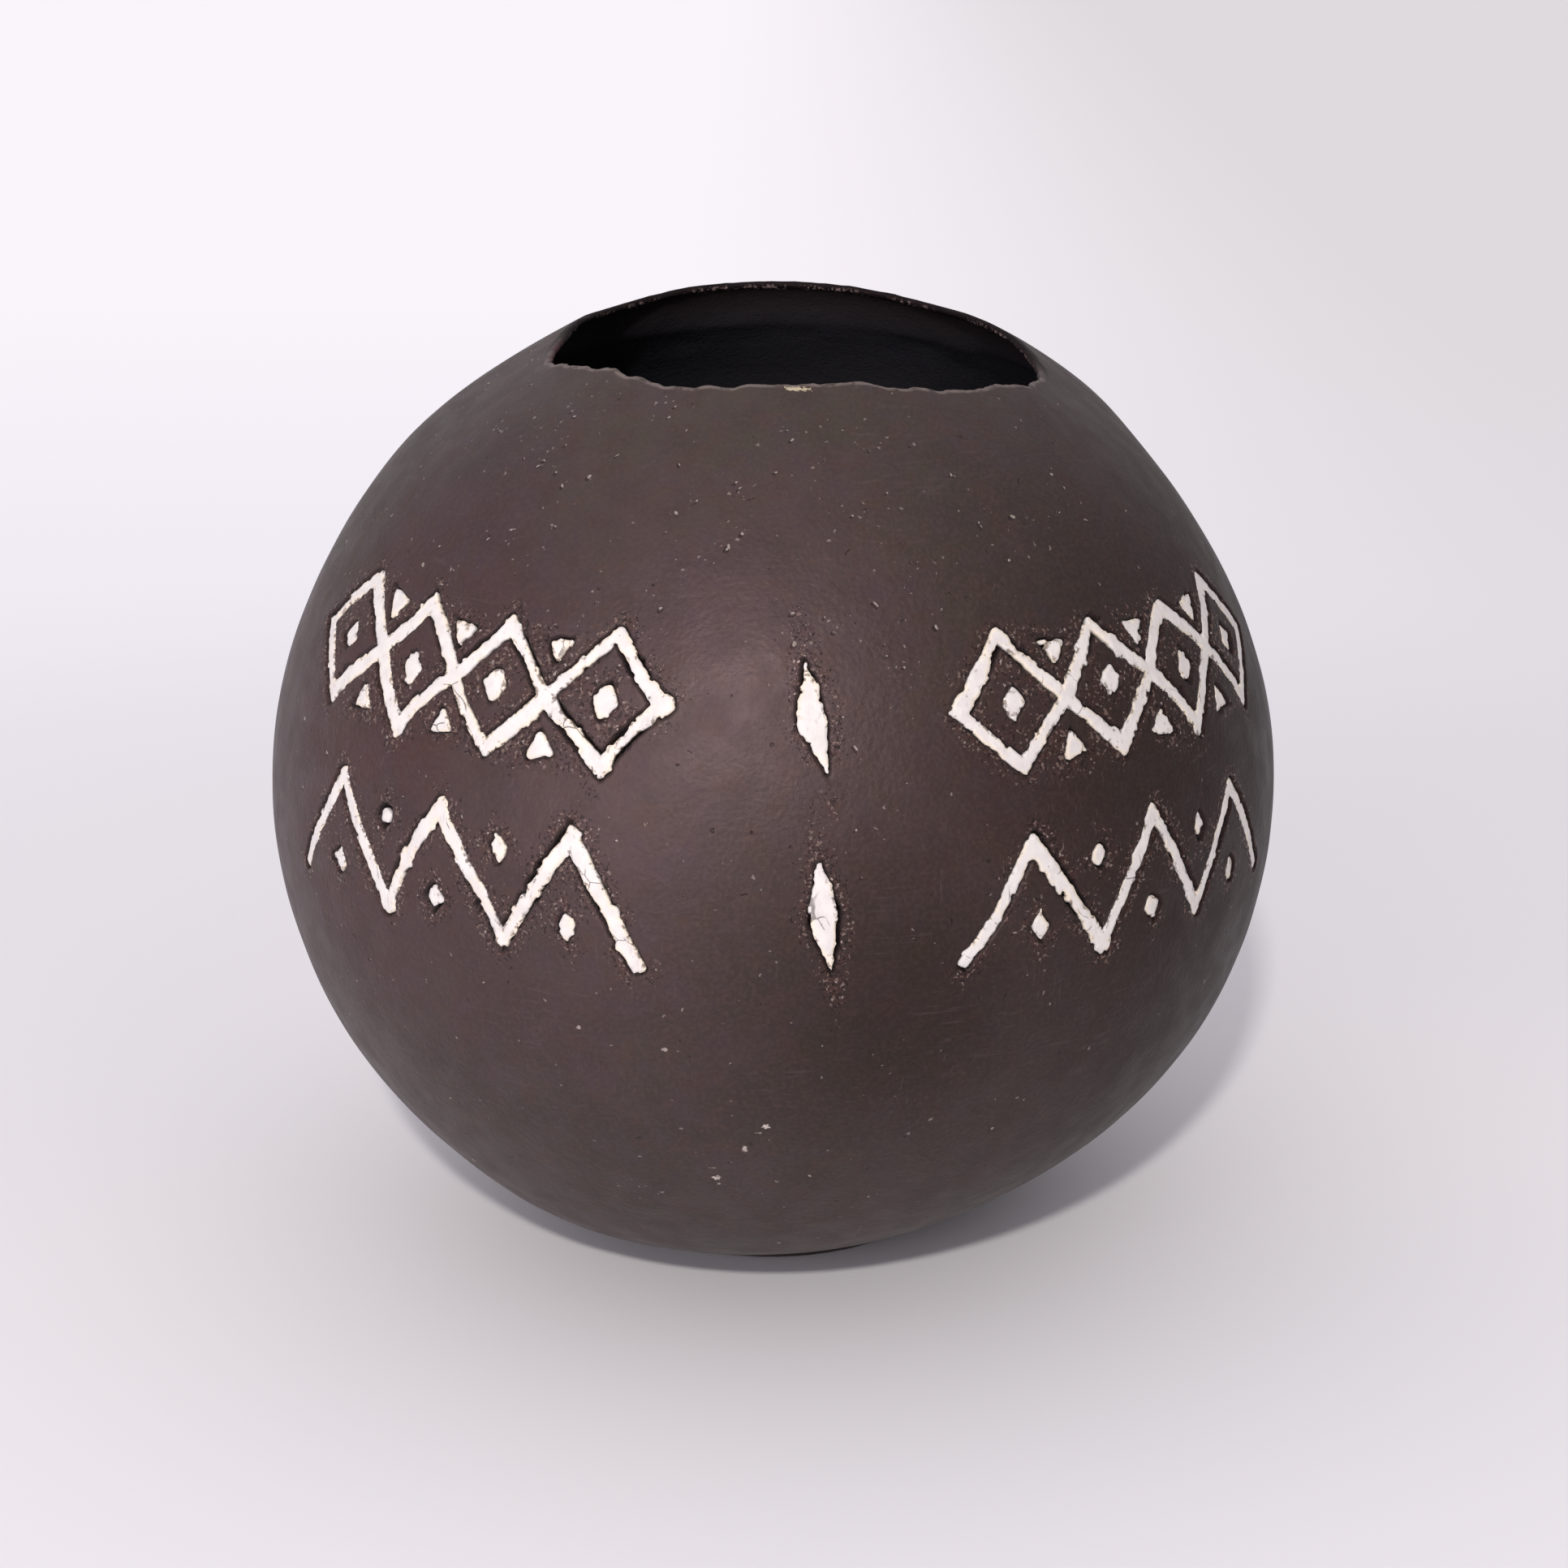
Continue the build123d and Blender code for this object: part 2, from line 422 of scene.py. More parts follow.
def bar_distance(azimuth, climb, bar):
    """How far each place lies outside a bar with rounded ends."""
    start, end, width, taper, bow, before, after = bar
    middle = ((start[0] + end[0]) / 2, (start[1] + end[1]) / 2)
    x, y = flat_place(azimuth, climb, middle)
    end_x, end_y = flat_place(*end, middle)
    start_x, start_y = flat_place(*start, middle)
    x, y = x - (start_x + end_x) / 2, y - (start_y + end_y) / 2
    length = np.hypot(end_x - start_x, end_y - start_y)
    along = ((end_x - start_x) / length, (end_y - start_y) / length)
    forward, across = x * along[0] + y * along[1], y * along[0] - x * along[1]
    share = forward / length
    across = across - bow * (1 - 4 * share * share)
    half_width = width / 2 * (1 + taper * np.clip(share, -0.5, 0.5))
    past_end = np.abs(forward - (after - before) / 2) - (length + before + after) / 2
    past_end = past_end + stroke_rounding
    past_side = np.abs(across) - half_width + stroke_rounding
    outside = np.hypot(np.maximum(past_end, 0), np.maximum(past_side, 0))
    return outside + np.minimum(np.maximum(past_end, past_side), 0) - stroke_rounding


def patch_distance(azimuth, climb, patch):
    """How far each place lies outside a patch, whose corners are a little rounded."""
    middle, corners = patch
    x, y = flat_place(azimuth, climb, middle)
    total = np.zeros(np.shape(x))
    limit = 60
    for (ax, ay), (bx, by) in zip(corners, corners[1:] + corners[:1]):
        length = sqrt((bx - ax) ** 2 + (by - ay) ** 2)
        beyond = ((x - ax) * (by - ay) - (y - ay) * (bx - ax)) / length
        total += np.exp(np.clip(patch_sharpness * beyond, -limit, limit))
    return np.log(total) / patch_sharpness


def carving_distance(azimuth, climb, marks):
    """How far each place lies outside the marks, whose edges are ragged as a blade leaves them."""
    lean = pi / 2 - climb / arc_radius
    points = ideal_outside(azimuth, lean)
    azimuth = azimuth + np.degrees(layered(points, drift_across_layers) / reach_at(climb))
    climb = climb + layered(points, drift_up_layers)
    nearest = np.full(len(points), np.inf)
    for bars, patches in marks:
        for bar in bars:
            nearest = np.minimum(nearest, bar_distance(azimuth, climb, bar))
        for patch in patches:
            nearest = np.minimum(nearest, patch_distance(azimuth, climb, patch))
    ragged = layered(points, stroke_layers)
    return nearest + ragged - in_places(points, *stroke_spurs) + in_places(points, *stroke_bites)


def column_azimuths(count):
    """Azimuths of the mesh columns, close together across the carved front."""
    samples = 3601
    fine = np.linspace(-180, 180, samples)
    front = 1 / (1 + np.exp((front_left - fine) / front_fade))
    front = front / (1 + np.exp((fine - front_right) / front_fade))
    density = 1 / back_spacing + (1 / front_spacing - 1 / back_spacing) * front
    total = np.concatenate([[0], np.cumsum((density[1:] + density[:-1]) / 2)])
    return np.interp(np.arange(count) * total[-1] / count, total, fine)


def lip_radius(azimuth):
    """The radius of the torn lip at each azimuth."""
    radius = mouth_radius * around(mouth_radius_shares, azimuth)
    for place, half_width, depth in lip_tears:
        radius += depth * np.exp(-(((azimuth - place) / half_width) ** 2))
    return radius + layered(on_circle(azimuth, mouth_radius, 0.0), lip_layers)


def lip_lean(azimuth):
    """The lean of the outside where the lip begins to round over."""
    radius = lip_radius(azimuth) + lip_crest
    return np.arcsin((radius - shoulder_centre[0]) / shoulder_radius)


class Skin:
    """A closed mesh that grows ring by ring, with values kept for each point."""

    def __init__(self):
        self.points = []
        self.values = {"carving": [], "past_lip": []}
        self.faces = []
        self.count = 0
        self.ring = None

    def add(self, grid, carving, past_lip):
        """Keep rows of points with their values, and say where they begin."""
        start = self.count
        self.points.append(grid.reshape(-1, 3))
        for key, value in (("carving", carving), ("past_lip", past_lip)):
            self.values[key].append(np.broadcast_to(value, grid.shape[:2]).reshape(-1))
        self.count += len(self.points[-1])
        return start

    def pole(self, point, past_lip=before_lip):
        """Start or end the mesh at one point."""
        start = self.add(np.array([[point]]), far_from_carving, past_lip)
        if self.ring is not None:
            self.fan(start, self.ring, False)
        self.ring = np.array([start])

    def fan(self, pole, ring, opening):
        """Join a ring to a pole."""
        after = np.roll(ring, -1)
        for here, there in zip(ring.tolist(), after.tolist()):
            self.faces.append((pole, there, here) if opening else (pole, here, there))

    def rings(self, grid, carving=far_from_carving, past_lip=before_lip):
        """Add rings of points, each joined to the one before it."""
        start = self.add(grid, carving, past_lip)
        rows, columns = grid.shape[:2]
        for row in range(rows):
            ring = start + row * columns + np.arange(columns)
            self.join(self.ring, ring)
            self.ring = ring

    def join(self, below, above):
        """Faces between two rings, of which one may have twice as many points as the other."""
        if len(below) == 1:
            self.fan(below[0], above, True)
        elif len(below) == len(above):
            quads = np.stack([below, np.roll(below, -1), np.roll(above, -1), above], -1)
            self.faces += quads.tolist()
        else:
            few, many = sorted((below, above), key=len)
            ends = (few, np.roll(few, -1), many[::2], many[1::2], np.roll(many[::2], -1))
            for a, b, p, q, r in zip(*(end.tolist() for end in ends)):
                faces = [(a, q, p), (a, b, q), (b, r, q)]
                self.faces += faces if few is below else [face[::-1] for face in faces]

    def mesh(self, name):
        """A Blender object of the skin."""
        piece = make_piece(name, np.concatenate(self.points), self.faces)
        for key, values in self.values.items():
            keep(piece, key, values)
        return piece


def add_object(name, data):
    """Place data in the scene."""
    made = bpy.data.objects.new(name, data)
    bpy.context.scene.collection.objects.link(made)
    return made


def make_piece(name, points, faces):
    """A smooth-shaded object from points in millimetres."""
    mesh = bpy.data.meshes.new(name)
    mesh.from_pydata((points / metre).tolist(), [], faces)
    mesh.shade_smooth()
    return add_object(name, mesh)


def keep(piece, key, values):
    """Keep a value with each point of a piece."""
    layer = piece.data.attributes.new(key, "FLOAT", "POINT")
    layer.data.foreach_set("value", np.concatenate(values).astype(np.float32))


def bend(start, corner, end, steps):
    """Points along a curve from start to end that turns at a corner, without its ends."""
    share = (np.arange(1, steps) / steps)[:, None, None]
    return (1 - share) ** 2 * start + 2 * share * (1 - share) * corner + share**2 * end


def wall(lean, lip):
    """The wall's thickness, which thins towards the lip."""
    full = belly_wall - (belly_wall - crown_wall) * np.cos(lean)
    way = (lean - lip) * shoulder_radius
    return lip_wall + (full - lip_wall) * smooth(way, 0, lip_taper)


def shaped_outside(azimuth, lean):
    """Points and normals of the outside as hands have shaped it."""
    points = ideal_outside(azimuth, lean)
    normals = directions(azimuth, lean)
    push = form(points.reshape(-1, 3), normals.reshape(-1, 3)).reshape(points.shape[:-1])
    return points + push[..., None] * normals, normals


def shaped_inside(azimuth, lean, lip):
    """Points of the inside, with the marks of fingers that smoothed it."""
    points, normals = shaped_outside(azimuth, lean)
    flat = points.reshape(-1, 3)
    fingers = layered(flat * finger_stretch, finger_layers) + layered(flat, dent_layers)
    fade = smooth((lean - lip) * shoulder_radius, 0, lip_taper)
    depth = wall(lean, lip) + fade * fingers.reshape(lean.shape)
    return points - depth[..., None] * normals


def groove(azimuth, lean, marks):
    """How far the carving lifts or sinks each place, and how far the place lies outside it."""
    climb = (pi / 2 - lean) * arc_radius
    away = np.full(lean.shape, far_from_carving)
    near = (azimuth > front_left) & (azimuth < front_right)
    distance = carving_distance(azimuth[near], climb[near], marks)
    away[near] = np.minimum(distance, far_from_carving)
    points = ideal_outside(azimuth, lean)
    depth = groove_depth * smooth(-away, -groove_edge_outside, groove_edge_inside)
    burr = np.exp(-(((away - burr_place) / burr_width) ** 2)) * burr_height
    burr = burr * np.maximum(layered(points.reshape(-1, 3), burr_layers).reshape(lean.shape), 0)
    return burr - depth, away


def spread(start, end, spacing):
    """Leans between two angles in degrees, a spacing apart and without the end."""
    count = int(abs(radians(end - start)) * arc_radius / spacing)
    return np.radians(start + (end - start) * np.arange(count) / count)


def clay_body(marks):
    """The fired clay as one closed skin: outside, torn lip, inside."""
    fine = column_azimuths(column_count)
    medium, coarse = fine[::2], fine[::4]
    ring = on_circle(coarse, 1, 0.0)[None]
    skin = Skin()
    grow_outside(skin, marks, fine, ring)
    lip = lip_lean(medium)
    grow_lip(skin, medium, lip)
    grow_inside(skin, coarse, lip, ring)
    return skin.mesh("clay_body")


def grow_outside(skin, marks, fine, ring):
    """The base, the belly and the carved band."""
    medium, coarse = fine[::2], fine[::4]
    foot_lean = pi - asin((base_radius + base_edge - flattening) / arc_radius)
    foot = shaped_outside(coarse, np.array([[foot_lean]]))[0]
    disc = ring * np.linspace(0, base_radius - base_edge, base_rings)[1:, None, None]
    skin.pole((0, 0, 0))
    skin.rings(disc)
    skin.rings(bend(disc[-1:], ring * base_radius, foot, corner_steps))

    belly = spread(degrees(foot_lean), belly_bottom, belly_spacing)
    skin.rings(shaped_outside(coarse, belly[:, None])[0])
    belly = spread(belly_bottom, band_bottom, belly_spacing / 2)
    skin.rings(shaped_outside(medium, belly[:, None])[0])

    band = spread(band_bottom, band_top, band_spacing)
    azimuth, lean = np.meshgrid(fine, band)
    points, normals = shaped_outside(azimuth, lean)
    lift, away = groove(azimuth, lean, marks)
    skin.rings(points + lift[..., None] * normals, away)


def grow_lip(skin, medium, lip):
    """The shoulder above the band, the torn lip and the upper inside."""
    rows = int((radians(band_top) - lip.mean()) * shoulder_radius / shoulder_spacing)
    share = (np.arange(rows) / rows)[:, None]
    lean = radians(band_top) * (1 - share) + lip * share
    past_lip = (lip - lean) * shoulder_radius
    skin.rings(shaped_outside(medium, lean)[0], past_lip=past_lip)

    past_lip = lip_wall * np.arange(lip_steps)[:, None] / lip_steps
    skin.rings(lip_rings(medium, lip), past_lip=past_lip)

    rows = int(fine_inner_depth / shoulder_spacing)
    lean = lip + (np.arange(rows)[:, None] / rows) * fine_inner_depth / shoulder_radius
    past_lip = lip_wall + (lean - lip) * shoulder_radius
    skin.rings(shaped_inside(medium, lean, lip), past_lip=past_lip)


def grow_inside(skin, coarse, lip, ring):
    """The lower inside and its floor."""
    start = lip + fine_inner_depth / shoulder_radius
    floor_lean = 180 - degrees(asin((base_radius - flattening) / (arc_radius - belly_wall)))
    turn = radians(floor_lean) - start.max()
    share = np.linspace(0, 1, int(turn * arc_radius / inner_spacing))[:, None]
    lean = start[::2] * (1 - share) + radians(floor_lean - floor_corner_turn) * share
    inner = shaped_inside(coarse, lean, lip[::2])
    skin.rings(inner, past_lip=deep_inside)

    rise = np.array([0, 0, floor_thickness])
    flat = ring * (base_radius - floor_edge) + rise
    corner = ring * (base_radius - floor_corner_inset) + rise
    skin.rings(bend(inner[-1:], corner, flat, corner_steps), past_lip=deep_inside)
    floor = ring * np.linspace(base_radius - floor_edge, 0, floor_rings)[:-1, None, None]
    skin.rings(floor + rise, past_lip=deep_inside)
    skin.pole(tuple(rise), past_lip=deep_inside)


def lip_rings(azimuth, lip):
    """Rings that round the torn lip over, from the outside to the inside."""
    crest, normals = shaped_outside(azimuth, lip)
    inward = -directions(azimuth, lip + pi / 2)
    half = lip_wall / 2
    rings = []
    for turn in np.arange(lip_steps) * pi / lip_steps:
        ring = crest + normals * (cos(turn) * half - half) + inward * (sin(turn) * lip_crest)
        side = normals * cos(turn) + inward * sin(turn)
        rings.append(ring + (sin(turn) * layered(ring, crest_layers))[:, None] * side)
    return np.array(rings)


def filling(name, mark):
    """The white filling of one mark: its outline is cut from a fine grid and given a thickness."""
    azimuth, climb = filling_grid(mark)
    inset = carving_distance(azimuth.reshape(-1), climb.reshape(-1), [mark]).reshape(azimuth.shape)
    lean = pi / 2 - climb / arc_radius
    ideal = ideal_outside(azimuth.reshape(-1), lean.reshape(-1))
    shrunk = in_places(ideal, *slip_shrinkage) + in_places(ideal, *slip_chips)
    shrunk = shrunk + layered(ideal, slip_edge_layers)
    field = inset + slip_gap + slip_wide_gap * shrunk.reshape(azimuth.shape)
    grid = np.stack([azimuth, climb, -field], -1)
    inside = field < 0
    places, faces, known = [], [], {}

    def index_of(key, place):
        if key not in known:
            known[key] = len(places)
            places.append(place)
        return known[key]

    def crossing(a, b):
        share = field[a] / (field[a] - field[b])
        share = min(max(share, closest_crossing_share), 1 - closest_crossing_share)
        place = grid[a] + share * (grid[b] - grid[a])
        return index_of((min(a, b), max(a, b)), (*place[:2], 0.0))

    used = inside[:-1, :-1] | inside[1:, :-1] | inside[:-1, 1:] | inside[1:, 1:]
    for i, j in np.argwhere(used).tolist():
        corners = ((i, j), (i + 1, j), (i + 1, j + 1), (i, j + 1))
        face = []
        for here, there in zip(corners, corners[1:] + corners[:1]):
            if inside[here]:
                face.append(index_of(here, grid[here]))
            if inside[here] != inside[there]:
                face.append(crossing(there, here) if inside[here] else crossing(here, there))
        faces.append(face)
    return thick_piece(name, np.array(places), faces)


def filling_grid(mark):
    """A grid of azimuths and climbs that covers a mark."""
    bars, patches = mark
    places = [place for bar in bars for place in bar[:2]]
    margin = 2 * stroke_width
    for middle, corners in patches:
        places.append(middle)
        margin = max(abs(value) for corner in corners for value in corner) + patch_margin
    azimuths, climbs = zip(*places)
    reach = reach_at((min(climbs) + max(climbs)) / 2)
    low = (min(azimuths) - degrees(margin / reach), min(climbs) - margin)
    high = (max(azimuths) + degrees(margin / reach), max(climbs) + margin)
    step = (degrees(slip_spacing / reach), slip_spacing)
    azimuth = np.arange(low[0], high[0], step[0])
    climb = np.arange(low[1], high[1], step[1])
    return np.meshgrid(azimuth, climb, indexing="ij")


def thick_piece(name, places, faces):
    """A closed piece with its face just under the clay's outside and its back in the groove."""
    azimuth, climb, depth = places.T
    lean = pi / 2 - climb / arc_radius
    points, normals = shaped_outside(azimuth, lean)
    edge = 1 - smooth(depth, 0, slip_edge_width)
    face = -slip_recess - slip_edge_drop * edge + layered(points, slip_layers)
    top = points + face[:, None] * normals
    back = points + (slip_back_gap - groove_depth) * normals
    count = len(points)
    edges = {}
    for corners in faces:
        for here, there in zip(corners, corners[1:] + corners[:1]):
            edges[(here, there)] = True
    sides = []
    for here, there in edges:
        if (there, here) not in edges:
            sides.append((there, here, here + count, there + count))
    backs = [[corner + count for corner in reversed(corners)] for corners in faces]
    piece = make_piece(name, np.concatenate([top, back]), faces + backs + sides)
    keep(piece, "edge", [depth, depth])
    return piece


def paint(code):
    """A colour as Blender keeps it, from its hexadecimal code."""
    shades = []
    for place in (0, 2, 4):
        shade = int(code[place:place + 2], 16) / 255
        shades.append(shade / 12.92 if shade <= 0.04045 else ((shade + 0.055) / 1.055) ** 2.4)
    return (*shades, 1.0)


class NodeMaker:
    """Adds nodes to a node tree one by one."""

    def __init__(self, tree):
        self.tree = tree

    def node(self, kind, settings=None, **inputs):
        """Add a node with its settings, and with its inputs linked or set."""
        made = self.tree.nodes.new(f"ShaderNode{kind}")
        for key, value in (settings or {}).items():
            setattr(made, key, value)
        for key, value in inputs.items():
            self.feed(made.inputs[key.replace("_", " ")], value)
        return made

    def feed(self, socket, value):
        """Link a socket to an output, or set it to a value."""
        if isinstance(value, bpy.types.NodeSocket):
            self.tree.links.new(value, socket)
        else:
            socket.default_value = value

    def fed(self, kind, settings, *values):
        """The outputs of a node whose inputs are fed in their order."""
        made = self.node(kind, settings)
        for socket, value in zip(made.inputs, values):
            self.feed(socket, value)
        return made.outputs

    def maths(self, operation, *values):
        """The result of an operation on values."""
        return self.fed("Math", {"operation": operation}, *values)[0]

    def vectors(self, operation, *values):
        """The outputs of an operation on vectors."""
        return self.fed("VectorMath", {"operation": operation}, *values)

    def times(self, *values):
        """The product of values."""
        total = values[0]
        for value in values[1:]:
            total = self.maths("MULTIPLY", total, value)
        return total

    def ramp(self, value, low, high, start=0.0, end=1.0):
        """A value that goes softly from start to end as another goes from low to high."""
        return self.fed("MapRange", {"interpolation_type": "SMOOTHSTEP"}, value, low, high, start, end)[0]

    def level(self, value, name):
        """A value turned into another by the range of a given name."""
        return self.ramp(value, *ranges[name])

    def mix(self, share, a, b):
        """A mix of two colours, by the sockets that the node has for colours."""
        first, second, output = 6, 7, 2
        made = self.node("Mix", {"data_type": "RGBA"})
        self.feed(made.inputs[0], share)
        self.feed(made.inputs[first], a)
        self.feed(made.inputs[second], b)
        return made.outputs[output]

    def split(self, vector):
        """The three values of a vector."""
        return self.node("SeparateXYZ", Vector=vector).outputs


# Clouds of colour, partly the clay's own mottling and partly painted light: place, reach and colour
# The lighter clouds on the upper left of the front are painted highlight; the darker ones on the right and
# low on the front are painted shade
colour_clouds_and_painted_light = (
    ((-38.8, -40.2, 117.6), 34, "34272b"), ((-7.6, -61.1, 109), 34, "382a2e"),
    ((-16, -41, 128), 30, "36312a"), ((-56, -48, 88), 46, "3a2423"),
    ((50, -52, 88), 46, "322521"), ((-28, -64, 84), 30, "3a2d2d"),
    ((42, -38, 118), 32, "2b2521"), ((8, -73, 52), 42, "2a2520"),
)

# Chips of pale stone in the clay: place, size along the three axes, and colour
pale_chips = (
    ((3.4, -36.1, 134.2), (2.6, 0.6, 3), "c6bc9c"), ((-0.8, -69, 40.4), (0.9, 2, 0.55), "c2b8b1"),
    ((-3.8, -67, 36.3), (0.5, 2, 0.9), "b2a8a1"), ((-7.7, -63.2, 30.4), (0.8, 2, 0.55), "bdb3ac"),
    ((-14.3, -71.7, 52.7), (0.7, 2, 0.5), "9a8f89"), ((-26, -68.9, 54.8), (0.5, 2, 0.5), "9a8f89"),
    ((38.6, -39.9, 118), (0.9, 0.9, 0.9), "a89f98"), ((-1.9, -68.3, 39.3), (0.6, 2, 0.3), "8d837c"),
    ((-7.4, -62.4, 29.2), (0.35, 2, 0.3), "8d837c"), ((-8.3, -64.2, 32.4), (0.9, 2, 0.25), "71655f"),
)

# Painted shade on the right and low on the front, where the clay is also duller: place, where it is full
# and where it ends, and share
painted_shade_and_dull_places = (((66, -34, 66), 15, 84, 0.86), ((19, -70, 58), 2, 42, 0.68))

# Patches: size, the noise at which they begin and are full, and a shift that sets them apart
soft_patches = {
    "ground": (34, 0.35, 0.65, 0), "rose": (13, 0.5, 0.64, 31), "olive": (16, 0.52, 0.66, 47),
    "violet": (4.5, 0.5, 0.66, 35), "rust": (3.5, 0.5, 0.66, 39), "plum": (1.5, 0.5, 0.66, 45),
    "blotches": (6, 0.45, 0.7, 0), "grain": (0.6, 0.38, 0.7, 3), "clusters": (7, 0.46, 0.64, 21),
    "upright lines": (17, 0.48, 0.6, 43), "level lines": (19, 0.5, 0.62, 57),
    "crumbs": (6, 0.38, 0.54, 61), "stain": (1.2, 0.45, 0.6, 7), "rim": (1.3, 0.34, 0.52, 79),
    "painted lip highlight": (1.4, 0.3, 0.6, 83), "lip crumbs": (0.6, 0.5, 0.6, 89),
    "lip clusters": (6, 0.36, 0.56, 97), "slip": (2.4, 0.35, 0.7, 0), "streaks": (5, 0.45, 0.6, 6),
    "cream": (3.5, 0.42, 0.56, 8), "cracks": (6, 0.58, 0.64, 29), "torn": (0.7, 0.52, 0.6, 33),
    "torn clusters": (4.5, 0.46, 0.56, 37), "paper": (260, 0.3, 0.7, 0),
}
patch_detail = 2.0

# Noises: size, detail, shift and, for lines, stretch
noises = {
    "clouds": (15, 3, 19), "chips": (0.4, 2, 27), "rough": (5, 3, 13),
    "upright lines": (0.45, 2, 41, (1, 1, 0.07)), "level lines": (0.45, 2, 53, (0.09, 0.09, 1)),
    "dark crumbs": (0.45, 1, 67), "brown crumbs": (0.55, 1, 71), "streaks": (0.55, 3, 5, (1, 1, 0.1)),
}

# Specks: size of the cells that hold them, radius as a share of a cell, and shift
speck_kinds = {
    "small specks": (1, 0.19, 11), "large specks": (2.1, 0.12, 15), "painted speck shadows": (2.1, 0.14, 15.22),
    "holes": (2.6, 0.11, 17), "pale crumbs": (0.7, 0.24, 73), "grit": (0.8, 0.2, 2),
}
hole_share = 0.16
pale_crumb_share = 0.36
grit_share = 0.14

# Ranges: where a value begins and ends to change another, and that one's levels if not 0 and 1
ranges = {
    "crown": (84, 116), "foot": (28, 66, 1, 0), "grain": (0, 1, 0.36, 0.14), "scratches": (0.6, 0.7),
    "gloss": (0, 1, 0.5, 0.2), "rough": (0.3, 0.7, 0.47, 0.56), "chip edge": (1.45, 1.75, 1, 0),
    "speck edge": (0.6, 1, 1, 0), "cluster heights": (78, 116, 0.35, 1), "cluster sides": (14, 50, 1, 0.2),
    "small specks": (0, 1, 0.03, 0.5), "large specks": (0, 1, 0.06, 0.75),
    "crumb reach": (0.1, 2.7, 1, 0), "crumbs": (0.67, 0.72), "crumb start": (0, 0.2),
    "rim": (0.12, 0.46, 1, 0), "groove": (0, 0.16, 1, 0), "near lip": (-12, 4, 1, 0),
    "painted lip highlight": (-0.55, -0.1), "painted far lip shade": (-2, -0.6), "crest": (0.2, 0.5), "inside": (1.5, 14),
    "inside edge": (1.2, 2.2), "lip crumbs": (0.45, 0.8), "lip crumb end": (1.1, 2, 1, 0),
    "corner": (2, 8, 1, 0), "corner edge": (-0.3, 0.3), "hollow": (0.2, 1.5), "dull": (0, 1, 0, 0.9),
    "streaks": (0.55, 0.7), "cream": (0.1, 0.7, 1, 0), "torn": (0.15, 0.6, 1, 0),
    "paper": (110, 420), "room sides": (-60, 260), "room depths": (60, 900),
    "crack edge": (0.0048, 0.012, 1, 0), "sky depths": (-0.8, 0.6, 0.4, 0.65),
    "sky sides": (-0.6, 0.8, 1, 0.7), "sky heights": (0.3, 1, 0, 0.34),
}

# Tints: share and colour
tints = {
    "crown": (1, "312d25"), "foot": (1, "29251f"), "rose": (0.4, "3a2c2f"), "olive": (0.4, "312c27"),
    "violet": (0.34, "352a33"), "rust": (0.34, "3a271d"), "plum": (0.25, "33292f"), "dark": (1, "1d150f"),
    "blotches": (0.35, "291f1d"), "grain": (1, "443633"), "scratches": (0.26, "4f4244"),
    "small specks": (0.5, "8f857e"), "painted speck shadows": (0.8, "191312"), "large specks": (0.55, "b3aaa1"),
    "holes": (0.75, "1b1514"), "stain": (0.6, "402925"), "dark crumbs": (0.85, "140d0d"),
    "brown crumbs": (0.7, "6f5e57"), "pale crumbs": (0.7, "b5a7a0"), "rim": (0.85, "1f1310"),
    "groove": (1, "0d0909"), "painted lip highlight": (0.7, "726863"), "painted far lip shade": (0.85, "120e10"),
    "crest": (1, "1d1719"), "lip crumbs": (0.85, "8a7876"), "corner": (0.8, "4c3032"),
    "streaks": (0.45, "b9b0b0"), "cream": (0.5, "e9d9bd"), "grit": (0.6, "8d7f77"),
    "cracks": (0.7, "4a3f3c"), "torn": (0.8, "5a4538"),
}

# Colours between which a surface changes
blends = {
    "ground": ("342828", "312525"), "inside": ("2f292a", "3b3a40"), "slip": ("dcd8d5", "d2cdcb"),
    "paper": ("f4f3f6", "efeff3"), "room": ("faf4fb", "dfdadd"),
}
gloss_colour = "ffe2e2"
near_colour = "e0dde6"
near_share = 0.6
sky_colour = "f4eff5"

# Bumps of noise: size, detail, shift, distance and strength; then other bumps: distance and strength
clay_bumps = ((0.7, 4, 4, 0.15, 0.6), (3.2, 2, 9, 0.24, 0.5))
slip_bumps = ((0.6, 3, 0, 0.1, 0.6),)
pit_bump = (-0.25, 0.9)
crumb_bump = (0.2, 0.9)
crack_bump = (-0.15, 0.8)
slip_roughness = 0.62
paper_roughness = 0.75

# How patterns grow and wander: clouds and chips by an amount, cells by shares of their size
cloud_wander = 44.0
cloud_core_share = 0.2
chip_wander = 2.0
chip_share = 0.8
crumb_growth = 0.12
corner_place = (-34, -7, 133)
speck_wander_shares = (0.9, 0.6)
least_growth = 0.5
crack_wander_shares = (0.5, 0.8)
crack_size = 6.0
crack_shift = 23.0

# Floor and lamps: name, azimuth, elevation, distance, size, power and colour
paper_half_width = 4000.0
lamps = (
    ("key", -5, 33, 1500, (66, 66), 11.8, "fff8f2"),
    ("window", -32, 6, 1500, (1000, 1000), 12, "f6eef6"),
)


